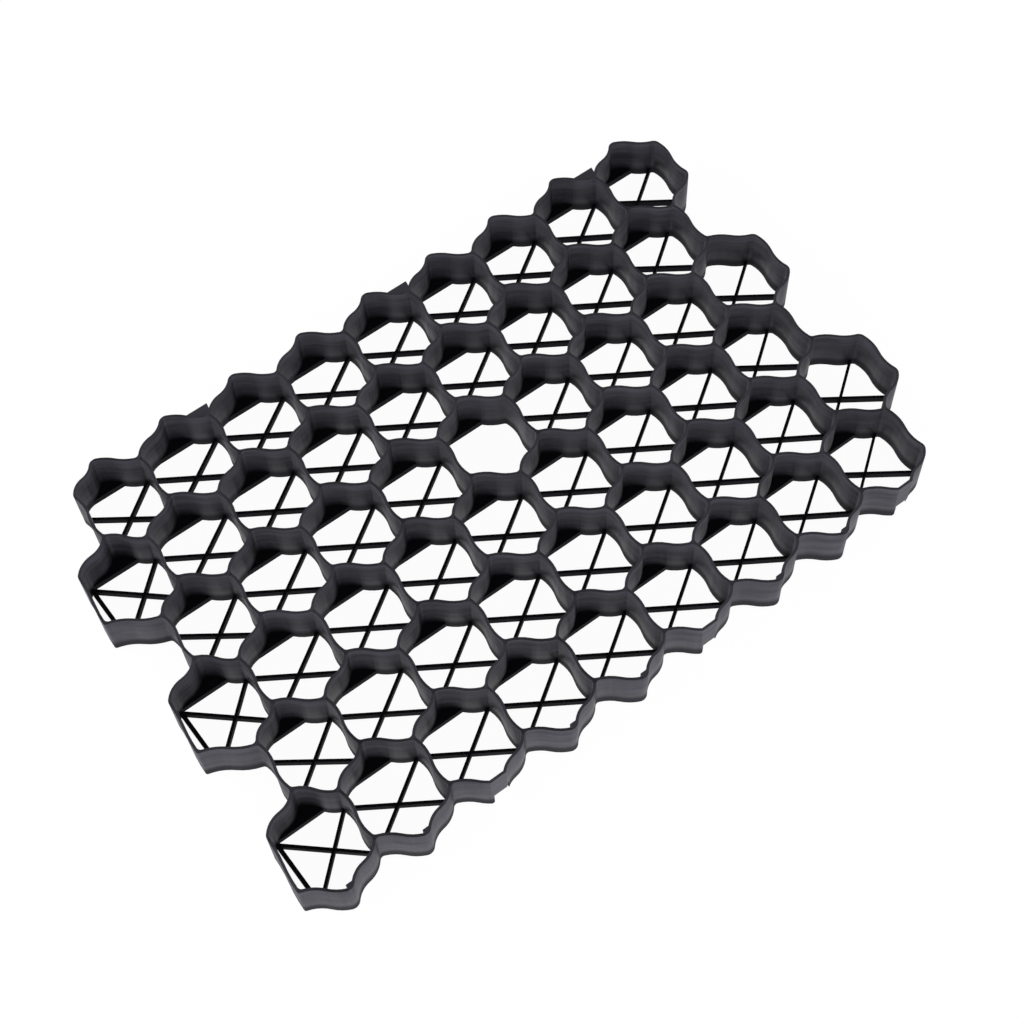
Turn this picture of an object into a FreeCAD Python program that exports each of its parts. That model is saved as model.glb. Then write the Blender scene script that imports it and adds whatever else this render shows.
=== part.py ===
import FreeCAD, Part
import math
import os

from FreeCAD import Vector

# Grass paver grid: one moulded panel of waved hexagon cells with an open cross in the floor of each.
# Frame: X along the long side, Y along the short side, Z up, the underside at zero.

# Cell lattice
pitch = 63.0
line_spacing = 63.0
lines = 6
cells_per_line = 9
wall_height = 38.0
wall_thickness = 2.1
upright_wave_depth = 1.8
rising_wave_depth = 2.3
falling_wave_depth = 1.3
edge_wave_depth = 0.5
inner_corner_radius = 3.5
outer_corner_radius = 6.5
foot_corner_radius = 2.0

# Crosses and webs in the floor
bar_width = 2.3
bar_height = 5.5
bar_end = 0.2
right_end_share = 0.91
web_line = 0.485
end_web_line = 0.455
open_cell_line = 3
open_cell_index = 4

# Left end, where the cells are drawn in and a strut in the floor closes a coupling slot
drawn_in = 0.10
low_corner_in = 0.02
low_corner_drop = 0.015
high_corner_in = 0.09
high_corner_rise = 0.027
strut_position = -0.327
strut_width = 3.0
strut_reach = 0.50
strut_cross_reach = 0.425

# Couplings on the two long edges, every third cell
coupling_first = 2
coupling_step = 3
cut_line = 0.595
slot_height = 11.5
slot_left = 4.5
slot_right = 10.0
slot_depth = 7.0
lug_right = 4.0
lug_line = 0.50
key_width = 5.5
key_length = 4.8

third = 1.0 / 3.0


def place(u, v):
    """Point of the lattice in millimetres, before the panel is centred."""
    return Vector(u * pitch, v * line_spacing, 0)


def cell_centre(line, index):
    """Lattice place of a cell; odd lines are moved along by half a cell."""
    return index + 0.5 * (line % 2), float(line)


def corner(line, index, number):
    """Corner of a cell, counted clockwise from the top one."""
    u, v = cell_centre(line, index)
    du, dv = ((0, 2), (0.5, 1), (0.5, -1), (0, -2), (-0.5, -1), (-0.5, 1))[number]
    cu = u + du
    cv = v + dv * third
    if cu < -0.4:
        if dv < 0:
            return place(cu + low_corner_in, cv - low_corner_drop)
        return place(cu + high_corner_in, cv + high_corner_rise)
    if abs(cu) < 0.1 and cv > 0:
        return place(cu + drawn_in, cv)
    return place(cu, cv)


def is_end_cell(line, index):
    """Whether a cell is one of the drawn-in cells at the left end."""
    return index == 0 and line % 2 == 0


class HalfWall:
    """Arc of one wall half. A right turn has its centre on the right of the travel."""

    def __init__(self, start, end, depth, right_turn):
        along = (end - start).normalize()
        left = Vector(-along.y, along.x, 0)
        chord = (end - start).Length
        self.radius = chord * chord / (8.0 * depth) + depth / 2.0
        self.right_turn = right_turn
        middle = (start + end) * 0.5
        reach = self.radius - depth
        self.centre = middle - left * reach if right_turn else middle + left * reach

    def offset(self, left):
        """Radius of the same arc moved to the left of the travel."""
        return self.radius + left if self.right_turn else self.radius - left

    def toward(self, point, left):
        """Point of the moved arc on the ray to another point."""
        ray = (point - self.centre).normalize()
        return self.centre + ray * self.offset(left)


def wall(start, end):
    """Both halves of one waved wall, first bulging to the left, then to the right."""
    middle = (start + end) * 0.5
    along = end - start
    if abs(along.x) < 0.3 * pitch:
        outer_left = start.x < 0 and end.x < 0
        depth = edge_wave_depth if outer_left else upright_wave_depth
    else:
        depth = rising_wave_depth if along.x * along.y > 0 else falling_wave_depth
    return HalfWall(start, middle, depth, True), HalfWall(middle, end, depth, False), middle


def arc(half, a, b, left):
    """Edge on the moved arc of a wall half."""
    ray = ((a - half.centre) + (b - half.centre)).normalize()
    return Part.Arc(a, half.centre + ray * half.offset(left), b).toShape()


def meet(first, second, left, near):
    """Centre where two moved arcs cross, nearest to a corner."""
    r1 = first.offset(left)
    r2 = second.offset(left)
    between = second.centre - first.centre
    gap = between.Length
    along = (r1 * r1 - r2 * r2 + gap * gap) / (2.0 * gap)
    rise = math.sqrt(max(r1 * r1 - along * along, 0.0))
    unit = between * (1.0 / gap)
    side = Vector(-unit.y, unit.x, 0)
    foot = first.centre + unit * along
    one = foot + side * rise
    two = foot - side * rise
    return one if (one - near).Length < (two - near).Length else two


def closed_outline(corners, left, radii):
    """Closed wire of waved walls, moved to the left; each corner is rounded.

    A radius below zero has its centre on the side with material.
    """
    count = len(corners)
    walls = [wall(corners[i], corners[(i + 1) % count]) for i in range(count)]
    step = 1.0 if left > 0 else -1.0
    rounds = []
    for i in range(count):
        before = walls[i - 1][1]
        after = walls[i][0]
        radius = abs(radii[i])
        centre = meet(before, after, left + step * radii[i], corners[i])
        a = before.toward(centre, left)
        b = after.toward(centre, left)
        ray = ((a - centre) + (b - centre)).normalize()
        rounds.append((a, centre + ray * radius, b))
    edges = []
    for i in range(count):
        a, top, b = rounds[i]
        edges.append(Part.Arc(a, top, b).toShape())
        first, second, middle = walls[i]
        turn = first.toward(middle, left)
        edges.append(arc(first, b, turn, left))
        edges.append(arc(second, turn, rounds[(i + 1) % count][0], left))
    return Part.Wire(edges)


def cell_hole(line, index):
    """Inner outline of one cell."""
    corners = [corner(line, index, n) for n in range(6)]
    return closed_outline(corners, -wall_thickness / 2, [inner_corner_radius] * 6)


def outer_wire():
    """Outer outline of the panel, walked clockwise from the lower left corner."""
    last = cells_per_line - 1
    hollow = inner_corner_radius
    tip = -outer_corner_radius
    foot = -foot_corner_radius
    path = []
    for line in range(lines):
        path.append((corner(line, 0, 4), hollow if line % 2 else foot))
        path.append((corner(line, 0, 5), hollow if line % 2 and line != lines - 1 else tip))
    for index in range(cells_per_line):
        path.append((corner(lines - 1, index, 0), tip))
        path.append((corner(lines - 1, index, 1), tip if index == last else hollow))
    for line in range(lines - 1, -1, -1):
        if line != lines - 1:
            path.append((corner(line, last, 1), tip if line % 2 else hollow))
        path.append((corner(line, last, 2), tip if line % 2 or line == 0 else hollow))
    for index in range(last, -1, -1):
        path.append((corner(0, index, 3), tip))
        if index > 0:
            path.append((corner(0, index, 4), hollow))
    return closed_outline([p[0] for p in path], wall_thickness / 2, [p[1] for p in path])


def plan(points):
    """Flat polygon on the floor plane."""
    return Part.Face(Part.makePolygon(points + [points[0]]))


def bar(start, end, width, short):
    """Plan of a straight rib between two points, its ends drawn back."""
    along = (end - start).normalize()
    side = Vector(-along.y, along.x, 0) * (width / 2)
    a = start + along * short
    b = end - along * short
    return plan([a + side, a - side, b - side, b + side])


def wall_point(start, end, share):
    """Point of a waved centre line at a share of its length."""
    first, second, middle = wall(start, end)
    half = first if share < 0.5 else second
    straight = start + (end - start) * share
    return half.toward(straight, 0)


def height_share(start, end, level):
    """Share of a wall's length where its centre line reaches a level."""
    low, high = 0.0, 1.0
    rising = end.y > start.y
    for _ in range(40):
        share = 0.5 * (low + high)
        above = wall_point(start, end, share).y > level
        if above == rising:
            high = share
        else:
            low = share
    return share


def corner_web(line, index):
    """Floor web that closes the top corner of a cell."""
    level = (line + (end_web_line if is_end_cell(line, index) else web_line)) * line_spacing
    left, top, right = corner(line, index, 5), corner(line, index, 0), corner(line, index, 1)
    a = height_share(left, top, level)
    b = height_share(top, right, level)
    points = [wall_point(left, top, a + (1 - a) * k / 4.0) for k in range(4)]
    points.append(top)
    points += [wall_point(top, right, b * k / 4.0) for k in range(1, 5)]
    return plan(points)


def cross(line, index):
    """Two bars from side corner to side corner in the floor of a cell."""
    ends = [corner(line, index, n) for n in (1, 2, 4, 5)]
    if is_end_cell(line, index):
        ends[2] = place(strut_position, line - strut_cross_reach)
        ends[3] = place(strut_position, line + strut_cross_reach)
    if index == cells_per_line - 1:
        ends[0] = wall_point(corner(line, index, 0), corner(line, index, 1), right_end_share)
        ends[1] = wall_point(corner(line, index, 3), corner(line, index, 2), right_end_share)
    return [
        bar(ends[3], ends[1], bar_width, bar_end),
        bar(ends[2], ends[0], bar_width, bar_end),
    ]


def end_strut(line):
    """Straight low bar inside the outer left wall of a drawn-in end cell."""
    low = place(strut_position, line - strut_reach)
    high = place(strut_position, line + strut_reach)
    return bar(low, high, strut_width, 0)


def coupling_cells():
    """Cells of the first line that carry a coupling."""
    return range(coupling_first, cells_per_line, coupling_step)


def cut_wall(index):
    """Straight wall that takes the place of the lowest corner of a coupling cell."""
    level = -cut_line * line_spacing
    right, low, left = corner(0, index, 2), corner(0, index, 3), corner(0, index, 4)
    a = wall_point(right, low, height_share(right, low, level))
    b = wall_point(low, left, height_share(low, left, level))
    return bar(b, a, wall_thickness, 0)


def cut_tool(index):
    """Block that takes off the lowest corner of a coupling cell."""
    level = -cut_line * line_spacing - wall_thickness / 2
    x = index * pitch
    half = 0.3 * pitch
    low = -line_spacing
    points = [Vector(x - half, low, 0), Vector(x + half, low, 0), Vector(x + half, level, 0),
              Vector(x - half, level, 0)]
    return plan(points)


def coupling_slot(index):
    """Block that opens a slot under the straight wall of a coupling cell."""
    wall_foot = cut_wall(index).BoundBox
    low = Vector(wall_foot.Center.x - slot_left, wall_foot.YMin - 1, -1)
    return Part.makeBox(slot_left + slot_right, slot_depth, slot_height + 1, low)


def lug(index):
    """Coupling lug in the valley above a coupling cell, on the far edge."""
    line = lines - 1
    valley = corner(line, index, 5)
    top = corner(line, index - 1, 0)
    level = (line + lug_line) * line_spacing
    a = wall_point(top, valley, height_share(top, valley, level))
    end = Vector(valley.x + lug_right, level, 0)
    foot = wall_point(valley, corner(line, index, 0), lug_right / (0.5 * pitch))
    middle = wall_point(top, valley, 0.8)
    return plan([a, end, foot, valley, middle])


def corner_key(index):
    """Small upright rib in the lowest corner of an edge cell without a coupling."""
    low = corner(0, index, 3)
    return bar(low, low + Vector(0, key_length, 0), key_width, 0)


def upright_parts(line, index):
    """Plans of what stands at full height inside one cell of the near line."""
    if line > 0:
        return []
    if index in coupling_cells():
        return [cut_wall(index), cut_tool(index)]
    return [corner_key(index)]


def floor_parts(line, index):
    """Plans of the low bars and the web in the floor of one cell."""
    parts = []
    if (line, index) != (open_cell_line, open_cell_index):
        parts += cross(line, index)
    if is_end_cell(line, index):
        parts.append(end_strut(line))
    right_end = line % 2 == 1 and index == cells_per_line - 1
    if not right_end or line == lines - 1:
        parts.append(corner_web(line, index))
    return parts


def trimmed_edge():
    """Outer outline with the coupling corners cut off and the lugs added."""
    outline = Part.Face(outer_wire()).cut([cut_tool(index) for index in coupling_cells()])
    far = place(cells_per_line + 1, lines + 1)
    near = place(-2, -2)
    around = plan([near, Vector(far.x, near.y, 0), far, Vector(near.x, far.y, 0)])
    around = around.cut([outline] + [lug(index) for index in coupling_cells()])
    frame = max(around.Faces, key=lambda face: face.Area)
    return min(frame.Wires, key=lambda wire: wire.BoundBox.DiagonalLength)


def mid_point(edge):
    """Point halfway along an edge."""
    return edge.valueAt(0.5 * (edge.FirstParameter + edge.LastParameter))


def raised(shape, height):
    """Copy of a plan shape at a height."""
    copy = shape.copy()
    copy.translate(Vector(0, 0, height))
    return copy


def upright(edge, low, high):
    """Side face on a plan edge."""
    return raised(edge, low).extrude(Vector(0, 0, high - low))


def cell_faces(line, index):
    """Side and ledge faces of one cell, with its holes in the rim and in the floor."""
    hole = Part.Face(cell_hole(line, index))
    inner = upright_parts(line, index)
    if inner:
        hole = hole.cut(inner)
        hole = max(hole.Faces, key=lambda face: face.Area)
    floor = hole.cut(floor_parts(line, index))
    ledge = hole.cut(floor.Faces)
    around = [edge for face in floor.Faces for edge in face.Edges]
    ends = [mid_point(edge) for face in ledge.Faces for edge in face.Edges]
    rim = []
    for edge in around:
        if min(mid_point(edge).distanceToPoint(end) for end in ends) > 0.01:
            rim.append(edge)
    starts = [mid_point(edge) for edge in around]
    for face in ledge.Faces:
        for edge in face.Edges:
            if min(mid_point(edge).distanceToPoint(start) for start in starts) > 0.01:
                rim.append(edge)
    faces = [upright(edge, 0, bar_height) for edge in around]
    faces += [upright(edge, bar_height, wall_height) for edge in rim]
    faces += [raised(face, bar_height) for face in ledge.Faces]
    rim_wires = [Part.Wire(group) for group in Part.sortEdges(rim)]
    return faces, rim_wires, [face.OuterWire for face in floor.Faces]


def pierced(edge, holes):
    """Flat face with holes, whose wires run the other way round."""
    turned = []
    for hole in holes:
        wire = hole.copy()
        if Part.Face(wire).normalAt(0, 0).z * Part.Face(edge).normalAt(0, 0).z > 0:
            wire.reverse()
        turned.append(wire)
    return Part.Face([edge] + turned)


def panel():
    """The whole moulded piece, sewn from its faces and centred on its footprint."""
    edge = trimmed_edge()
    faces = [upright(side, 0, wall_height) for side in edge.Edges]
    rim_holes = []
    floor_holes = []
    for line in range(lines):
        for index in range(cells_per_line):
            sides, rim, floor = cell_faces(line, index)
            faces += sides
            rim_holes += rim
            floor_holes += floor
    faces.append(pierced(edge, floor_holes))
    faces.append(raised(pierced(edge, rim_holes), wall_height))
    skin = Part.makeCompound(faces)
    skin.sewShape()
    solid = Part.Solid(skin.Shells[0])
    solid = solid.cut([coupling_slot(index) for index in coupling_cells()]).Solids[0]
    solid = solid.removeSplitter()
    box = solid.BoundBox
    solid.translate(Vector(-box.Center.x, -box.Center.y, -box.ZMin))
    return solid


os.makedirs("parts", exist_ok=True)
grid = panel()
box = grid.BoundBox
print("faces", len(grid.Faces), "volume", round(grid.Volume))
print("size", round(box.XLength, 3), round(box.YLength, 3), round(box.ZLength, 3))
grid.exportStep("parts/grid_panel.step")
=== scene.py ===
import math

import bpy
from mathutils import Matrix, Vector

# Looks of the grass paver grid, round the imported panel. Metres, Z up.

MM = 0.001

# Panel
PANEL = "grid_panel"
EDGE_ROUNDING = 0.35 * MM
EDGE_SEGMENTS = 2
EDGE_ANGLE = math.radians(38)
WELD = 0.01 * MM

# Camera, at the photograph's viewing angle
CAMERA_PLACE = Vector((-0.3964, -0.6042, 1.2208))
CAMERA_RIGHT = Vector((0.797833, -0.602082, -0.030986))
CAMERA_DOWN = Vector((-0.533443, -0.681064, -0.501587))
CAMERA_AHEAD = Vector((0.280893, 0.416712, -0.864552))
FOCAL_SHARE = 1846.7 / 1024.0
SENSOR = 36.0
CLIP_START = 0.05
CLIP_END = 60.0

# Colours and gloss of the plastic, with painted shade at its foot: darker in colour and duller
# in gloss there
DARK = (0.0115, 0.0108, 0.0138)
LIGHT = (0.0300, 0.0286, 0.0356)
WORN = (0.0720, 0.0690, 0.0830)
# Painted shade: darker colour for the foot, where the bars and the lower walls lie in shade
PAINTED_FOOT_SHADE = (0.0065, 0.0062, 0.0078)
SHADED_FOOT_HEIGHT = (4.0 * MM, 12.0 * MM)
GLOSS = 0.30
GLOSS_TINT = (0.82, 0.80, 1.0, 1.0)
ROUGHNESS = (0.42, 0.62)
FOOT_ROUGHNESS = 0.85

# Noises of the plastic: scale, detail and roughness, and the stretch of two of them
CLOUD = (14.0, 4.0, 0.55)
FLOW = (320.0, 2.0, 0.5)
FLOW_STRETCH = (1.0, 1.0, 0.06)
LAYERS = (190.0, 3.0, 0.6)
LAYERS_STRETCH = (0.10, 0.10, 1.0)
GRAIN = (2600.0, 2.0, 0.6)

# Where each noise shows in the colour and the relief; upright faces have a level of nought
CLOUD_STOPS = [(0.30, 0.0), (0.72, 1.0)]
STREAK_STOPS = [(0.36, 0.05), (0.68, 0.65)]
STREAK_LEVELS = (0.4, 0.9)
WEAR_STOPS = [(0.52, 0.0), (0.62, 0.30)]
GRAIN_SHARE = 0.5
RELIEF_STRENGTH = 0.35
RELIEF_DEPTH = 0.08 * MM

# Floor
FLOOR_SIZE = 30.0
FLOOR_SHARE = 0.92
FLOOR_WHITE = 1.045
FLOOR_NOISE = (3.0, 2.0)
FLOOR_STOPS = [(0.3, 0.88), (0.7, 0.90)]
FLOOR_ROUGHNESS = 0.9
WHITE = (1.0, 1.0, 1.0, 1.0)

# Sky, by height of the direction
SIDE_LIGHT = 1.0
TOP_LIGHT = 0.12
SKY_STOPS = [(0.0, SIDE_LIGHT), (0.35, SIDE_LIGHT), (0.85, TOP_LIGHT)]

# Lamps: name, place, width, height and power
LAMPS = (
    ("front_lamp", Vector((-1.2, -2.1, 0.45)), 1.6, 0.8, 34.0),
    ("side_lamp", Vector((1.9, -1.2, 0.7)), 1.2, 0.8, 12.0),
    ("left_lamp", Vector((-1.7, 1.2, 0.7)), 1.2, 0.8, 20.0),
)

# Sockets of the mix node by what it mixes: first, second and result
MIX_SOCKETS = {"RGBA": (6, 7, 2), "FLOAT": (2, 3, 0)}


def feed(tree, value, socket):
    """Gives a socket what another one puts out, or a colour, or a number."""
    if isinstance(value, bpy.types.NodeSocket):
        tree.links.new(value, socket)
    elif isinstance(value, tuple):
        socket.default_value = (*value, 1.0)
    else:
        socket.default_value = value


def node(tree, kind, **values):
    """New node; inputs are given by name, other settings as they are called."""
    made = tree.nodes.new(kind)
    for name, value in values.items():
        if name in made.inputs:
            made.inputs[name].default_value = value
        else:
            setattr(made, name, value)
    return made


def coordinates(tree, kind):
    """Texture coordinates of a kind."""
    return tree.nodes.new("ShaderNodeTexCoord").outputs[kind]


def ramp(tree, source, stops):
    """Colour ramp on a value; stops are pairs of place and grey."""
    made = tree.nodes.new("ShaderNodeValToRGB")
    elements = made.color_ramp.elements
    while len(elements) > 1:
        elements.remove(elements[-1])
    for k, (place, grey) in enumerate(stops):
        spot = elements[0] if k == 0 else elements.new(place)
        spot.position = place
        spot.color = (grey, grey, grey, 1.0)
    feed(tree, source, made.inputs["Fac"])
    return made.outputs["Color"]


def noise(tree, vector, scale, detail, roughness=0.5):
    """Noise value at the coordinates given."""
    made = node(tree, "ShaderNodeTexNoise", Scale=scale, Detail=detail, Roughness=roughness)
    feed(tree, vector, made.inputs["Vector"])
    return made.outputs["Fac"]


def stretched(tree, vector, factors):
    """Coordinates with a factor on each axis."""
    made = node(tree, "ShaderNodeVectorMath", operation="MULTIPLY")
    feed(tree, vector, made.inputs[0])
    made.inputs[1].default_value = factors
    return made.outputs["Vector"]


def mixed(tree, factor, first, second, kind="RGBA"):
    """Mix of two colours or values by a factor; each may be a socket."""
    made = node(tree, "ShaderNodeMix", data_type=kind)
    first_place, second_place, result_place = MIX_SOCKETS[kind]
    feed(tree, factor, made.inputs[0])
    feed(tree, first, made.inputs[first_place])
    feed(tree, second, made.inputs[second_place])
    return made.outputs[result_place]


def calculated(tree, operation, *values):
    """Result of a sum on values; each may be a socket or a number."""
    made = node(tree, "ShaderNodeMath", operation=operation)
    for socket, value in zip(made.inputs, values):
        feed(tree, value, socket)
    return made.outputs[0]


def height_of(tree, vector):
    """Third part of a vector."""
    made = tree.nodes.new("ShaderNodeSeparateXYZ")
    feed(tree, vector, made.inputs[0])
    return made.outputs["Z"]


def ranged(tree, source, low, high, bottom, top):
    """Value taken smoothly from one range to another."""
    made = node(tree, "ShaderNodeMapRange", interpolation_type="SMOOTHSTEP")
    limits = {"From Min": low, "From Max": high, "To Min": bottom, "To Max": top}
    for name, value in limits.items():
        made.inputs[name].default_value = value
    feed(tree, source, made.inputs["Value"])
    return made.outputs["Result"]


def plastic():
    """Charcoal plastic: cloudy, with flow lines along the walls, worn edges, a fine grain and
    painted shade at its foot.
    """
    material = bpy.data.materials.new("charcoal_plastic")
    material.use_nodes = True
    tree = material.node_tree
    shader = tree.nodes["Principled BSDF"]
    place = coordinates(tree, "Object")

    cloud = noise(tree, place, *CLOUD)
    flow = noise(tree, stretched(tree, place, FLOW_STRETCH), *FLOW)
    layers = noise(tree, stretched(tree, place, LAYERS_STRETCH), *LAYERS)
    grain = noise(tree, place, *GRAIN)

    # Colour
    colour = mixed(tree, ramp(tree, cloud, CLOUD_STOPS), DARK, LIGHT)
    surface = tree.nodes.new("ShaderNodeNewGeometry")
    level = calculated(tree, "ABSOLUTE", height_of(tree, surface.outputs["Normal"]))
    upright = ranged(tree, level, *STREAK_LEVELS, 1.0, 0.0)
    streaks = calculated(tree, "MULTIPLY", ramp(tree, layers, STREAK_STOPS), upright)
    colour = mixed(tree, streaks, colour, WORN)
    wear = ramp(tree, surface.outputs["Pointiness"], WEAR_STOPS)
    colour = mixed(tree, wear, colour, WORN)
    # Painted shade: the colour turns darker towards the foot (4 to 12 mm up), over the bars and
    # lower walls; the gloss is duller there too
    above_shaded_foot = ranged(tree, height_of(tree, place), *SHADED_FOOT_HEIGHT, 0.0, 1.0)
    feed(tree, mixed(tree, above_shaded_foot, PAINTED_FOOT_SHADE, colour), shader.inputs["Base Color"])

    # Gloss
    satin = ranged(tree, cloud, 0.0, 1.0, *ROUGHNESS)
    roughness = mixed(tree, above_shaded_foot, FOOT_ROUGHNESS, satin, "FLOAT")
    feed(tree, roughness, shader.inputs["Roughness"])
    shader.inputs["Specular IOR Level"].default_value = GLOSS
    shader.inputs["Specular Tint"].default_value = GLOSS_TINT

    # Relief
    lines = calculated(tree, "ADD", flow, layers)
    relief = calculated(tree, "MULTIPLY_ADD", grain, GRAIN_SHARE, lines)
    bump = node(tree, "ShaderNodeBump", Strength=RELIEF_STRENGTH, Distance=RELIEF_DEPTH)
    feed(tree, relief, bump.inputs["Height"])
    feed(tree, bump.outputs["Normal"], shader.inputs["Normal"])
    return material


def dress(panel, material):
    """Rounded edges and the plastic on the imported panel."""
    panel.data.materials.clear()
    panel.data.materials.append(material)
    weld = panel.modifiers.new("weld", "WELD")
    weld.merge_threshold = WELD
    rounding = panel.modifiers.new("rounding", "BEVEL")
    rounding.width = EDGE_ROUNDING
    rounding.segments = EDGE_SEGMENTS
    rounding.limit_method = "ANGLE"
    rounding.angle_limit = EDGE_ANGLE
    rounding.harden_normals = True
    rounding.use_clamp_overlap = True


def seen_directly(tree):
    """One for rays of the camera and of gloss or glass, nought for rays that light things."""
    path = tree.nodes.new("ShaderNodeLightPath")
    total = path.outputs["Is Camera Ray"]
    for name in ("Is Glossy Ray", "Is Transmission Ray"):
        total = calculated(tree, "MAXIMUM", total, path.outputs[name])
    return total


def white_floor():
    """Floor that shows white, with a small share of the panel's soft shadow."""
    material = bpy.data.materials.new("white_floor")
    material.use_nodes = True
    tree = material.node_tree
    shader = tree.nodes["Principled BSDF"]
    place = coordinates(tree, "Object")
    tone = ramp(tree, noise(tree, place, *FLOOR_NOISE), FLOOR_STOPS)
    feed(tree, tone, shader.inputs["Base Color"])
    shader.inputs["Roughness"].default_value = FLOOR_ROUGHNESS
    glow = node(tree, "ShaderNodeEmission", Color=WHITE, Strength=FLOOR_WHITE)
    share = calculated(tree, "MULTIPLY", seen_directly(tree), FLOOR_SHARE)
    blend = tree.nodes.new("ShaderNodeMixShader")
    for source, socket in zip((share, shader.outputs[0], glow.outputs[0]), blend.inputs):
        feed(tree, source, socket)
    feed(tree, blend.outputs[0], tree.nodes["Material Output"].inputs["Surface"])
    return material


def sky():
    """White round the sides and darker overhead."""
    world = bpy.data.worlds.new("studio")
    bpy.context.scene.world = world
    world.use_nodes = True
    tree = world.node_tree
    tone = ramp(tree, height_of(tree, coordinates(tree, "Generated")), SKY_STOPS)
    background = tree.nodes["Background"]
    feed(tree, tone, background.inputs["Color"])
    background.inputs["Strength"].default_value = 1.0


def lamp(name, place, width, height, power):
    """Soft rectangular lamp that looks at the panel."""
    data = bpy.data.lights.new(name, "AREA")
    data.shape = "RECTANGLE"
    data.size = width
    data.size_y = height
    data.energy = power
    made = bpy.data.objects.new(name, data)
    made.location = place
    made.rotation_euler = (-place).to_track_quat("-Z", "Y").to_euler()
    bpy.context.scene.collection.objects.link(made)


def studio():
    """Floor, sky and lamps."""
    bpy.ops.mesh.primitive_plane_add(size=FLOOR_SIZE, location=(0.0, 0.0, 0.0))
    floor = bpy.context.object
    floor.name = "floor"
    floor.data.materials.append(white_floor())
    sky()
    for values in LAMPS:
        lamp(*values)


def camera():
    """Camera at the photograph's viewing angle, with the panel filling the frame."""
    data = bpy.data.cameras.new("camera")
    made = bpy.data.objects.new("camera", data)
    bpy.context.scene.collection.objects.link(made)
    data.sensor_width = SENSOR
    data.lens = FOCAL_SHARE * SENSOR
    data.clip_start = CLIP_START
    data.clip_end = CLIP_END
    turn = Matrix((CAMERA_RIGHT, -CAMERA_DOWN, -CAMERA_AHEAD)).transposed()
    made.matrix_world = Matrix.LocRotScale(CAMERA_PLACE, turn.to_quaternion(), None)
    bpy.context.scene.camera = made


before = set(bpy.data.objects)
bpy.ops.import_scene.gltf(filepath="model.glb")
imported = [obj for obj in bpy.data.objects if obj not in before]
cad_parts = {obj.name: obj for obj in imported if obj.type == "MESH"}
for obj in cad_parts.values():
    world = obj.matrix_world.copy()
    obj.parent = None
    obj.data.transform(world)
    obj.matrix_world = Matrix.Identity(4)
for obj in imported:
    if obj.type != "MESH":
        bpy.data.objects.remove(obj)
bpy.context.view_layer.update()

dress(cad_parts[PANEL], plastic())
studio()
camera()
bpy.context.scene.view_settings.view_transform = "Standard"

bpy.context.view_layer.update()
